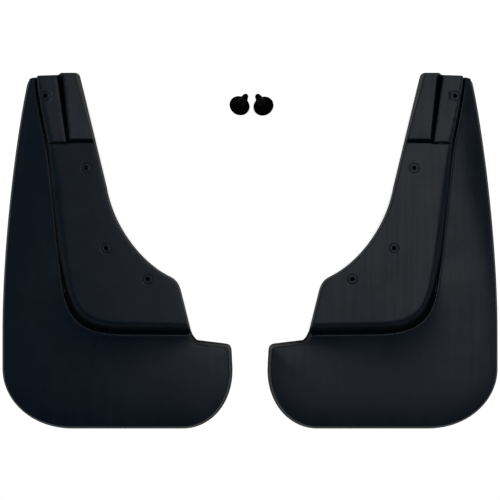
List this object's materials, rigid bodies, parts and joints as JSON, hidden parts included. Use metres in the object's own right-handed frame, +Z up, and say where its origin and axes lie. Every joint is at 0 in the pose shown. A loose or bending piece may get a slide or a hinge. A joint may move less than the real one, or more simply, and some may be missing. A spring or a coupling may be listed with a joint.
{
  "type": "mud flap",
  "caption": "Moulded mud flaps of both hands, each a wide low blade with a raised screw-on flange and ringed screw holes, laid out face up with their push clips.",
  "frame": {"origin": "on the floor, at the middle of the laid-out set", "axes": "+X to the right across the pair, +Y towards the flaps' narrow ends, +Z up out of their faces"},
  "size_m": [0.495, 0.3536, 0.0285],
  "materials": {
    "flap_rubber": "satin black moulded elastomer with a fine even grain",
    "clip_nylon": "black moulded nylon with a slight gloss"
  },
  "bodies": {
    "left_flap": {"left_flap": "flap_rubber"},
    "right_flap": {"right_flap": "flap_rubber"},
    "left_clip": {"left_clip_body": "clip_nylon"},
    "left_pin": {"left_clip_pin": "clip_nylon"},
    "right_clip": {"right_clip_body": "clip_nylon"},
    "right_pin": {"right_clip_pin": "clip_nylon"}
  },
  "joints": [
    {"name": "right_flap_lift", "type": "slide", "parent": "left_flap", "child": "right_flap", "axis": [0, 0, 1], "range_m": [0, 0.06]},
    {"name": "left_clip_lift", "type": "slide", "parent": "left_flap", "child": "left_clip", "axis": [0, 0, 1], "range_m": [0, 0.06]},
    {"name": "right_clip_lift", "type": "slide", "parent": "left_flap", "child": "right_clip", "axis": [0, 0, 1], "range_m": [0, 0.06]},
    {"name": "left_pin_press", "type": "slide", "parent": "left_clip", "child": "left_pin", "axis": [0.2665, 0.2858, 0.9205], "range_m": [0, 0.0027]},
    {"name": "right_pin_press", "type": "slide", "parent": "right_clip", "child": "right_pin", "axis": [-0.2512, 0.2993, 0.9205], "range_m": [0, 0.0027]}
  ]
}
